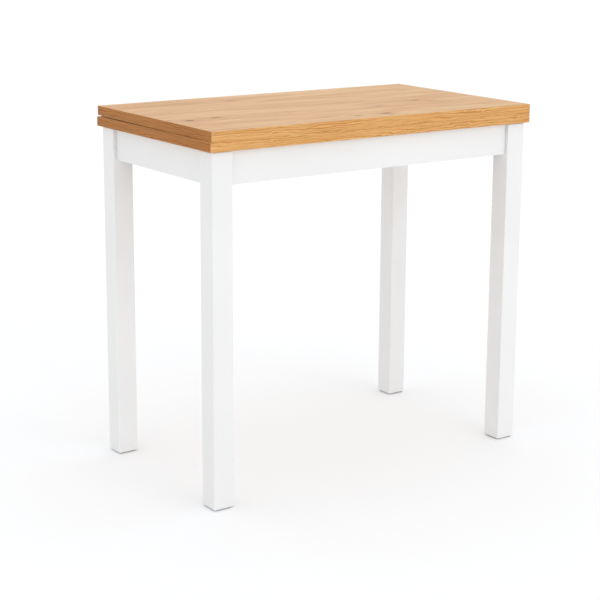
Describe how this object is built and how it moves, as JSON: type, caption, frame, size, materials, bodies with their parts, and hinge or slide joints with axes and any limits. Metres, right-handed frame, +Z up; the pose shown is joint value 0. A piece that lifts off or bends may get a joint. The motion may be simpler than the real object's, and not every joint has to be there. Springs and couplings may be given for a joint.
{
  "type": "book-fold swivel-top table",
  "caption": "Small dining table whose two stacked leaves swivel a quarter turn and open like a book to double the top over a fixed four-leg frame with aprons.",
  "frame": {"origin": "on the floor, under the centre of the folded top", "axes": "+X along the long side to the right, +Y to the rear, where the leaves are hinged, +Z up"},
  "size_m": [0.8, 0.45, 0.75],
  "materials": {
    "white_lacquer": "white satin lacquer",
    "oak_face": "matt oak-look laminate on board",
    "oak_edging": "matt oak-look edging",
    "raw_pine": "planed, unfinished",
    "zinc_plate": "zinc plated",
    "nickel_hinge": "nickel plated",
    "nylon": "natural nylon",
    "felt": "pressed felt",
    "rubber": "black, matt",
    "foot_plastic": "dark grey, moulded"
  },
  "bodies": {
    "base": {"leg_front_left": "white_lacquer", "leg_front_right": "white_lacquer", "leg_rear_left": "white_lacquer", "leg_rear_right": "white_lacquer", "apron_front": "white_lacquer", "apron_rear": "white_lacquer", "apron_left": "white_lacquer", "apron_right": "white_lacquer", "foot_glide_front_left": "foot_plastic", "foot_glide_front_right": "foot_plastic", "foot_glide_rear_left": "foot_plastic", "foot_glide_rear_right": "foot_plastic", "glide_pad_front_left": "felt", "glide_pad_front_right": "felt", "glide_pad_rear_left": "felt", "glide_pad_rear_right": "felt", "corner_bracket_front_left": "zinc_plate", "corner_bracket_front_right": "zinc_plate", "corner_bracket_rear_left": "zinc_plate", "corner_bracket_rear_right": "zinc_plate", "hanger_bolt_front_left": "zinc_plate", "hanger_bolt_front_right": "zinc_plate", "hanger_bolt_rear_left": "zinc_plate", "hanger_bolt_rear_right": "zinc_plate", "bolt_nut_front_left": "zinc_plate", "bolt_nut_front_right": "zinc_plate", "bolt_nut_rear_left": "zinc_plate", "bolt_nut_rear_right": "zinc_plate", "pivot_crossbar": "raw_pine", "crossbar_cleat_front": "raw_pine", "crossbar_cleat_rear": "raw_pine", "pivot_bush": "nylon", "thrust_washer": "nylon"},
    "lower_leaf": {"lower_leaf_core": "oak_face", "lower_leaf_edging": "oak_edging", "pivot_flange": "zinc_plate", "flange_screw_1": "zinc_plate", "flange_screw_2": "zinc_plate", "flange_screw_3": "zinc_plate", "flange_screw_4": "zinc_plate", "lock_washer": "zinc_plate", "lock_nut": "zinc_plate", "stop_buffer": "rubber", "hinge_plate_lower_left": "nickel_hinge", "hinge_plate_lower_centre": "nickel_hinge", "hinge_plate_lower_right": "nickel_hinge", "hinge_pin_lower_left": "nickel_hinge", "hinge_pin_lower_centre": "nickel_hinge", "hinge_pin_lower_right": "nickel_hinge"},
    "fold_links": {"hinge_link_left": "nickel_hinge", "hinge_link_centre": "nickel_hinge", "hinge_link_right": "nickel_hinge"},
    "upper_leaf": {"upper_leaf_core": "oak_face", "upper_leaf_edging": "oak_edging", "hinge_plate_upper_left": "nickel_hinge", "hinge_plate_upper_centre": "nickel_hinge", "hinge_plate_upper_right": "nickel_hinge", "hinge_pin_upper_left": "nickel_hinge", "hinge_pin_upper_centre": "nickel_hinge", "hinge_pin_upper_right": "nickel_hinge"}
  },
  "joints": [
    {"name": "top_swivel", "type": "hinge", "parent": "base", "child": "lower_leaf", "pos_m": [0.1127, 0.1127, 0.7066], "axis": [0, 0, 1], "range_deg": [0, 90]},
    {"name": "link_fold", "type": "hinge", "parent": "lower_leaf", "child": "fold_links", "pos_m": [0, 0.221, 0.7247], "axis": [-1, 0, 0], "range_deg": [0, 90]},
    {"name": "leaf_fold", "type": "hinge", "parent": "fold_links", "child": "upper_leaf", "pos_m": [0, 0.221, 0.7335], "axis": [-1, 0, 0], "range_deg": [0, 90.33]}
  ],
  "couplings": [
    {"joint": "leaf_fold", "follows": "link_fold", "ratio": 1.0037}
  ]
}
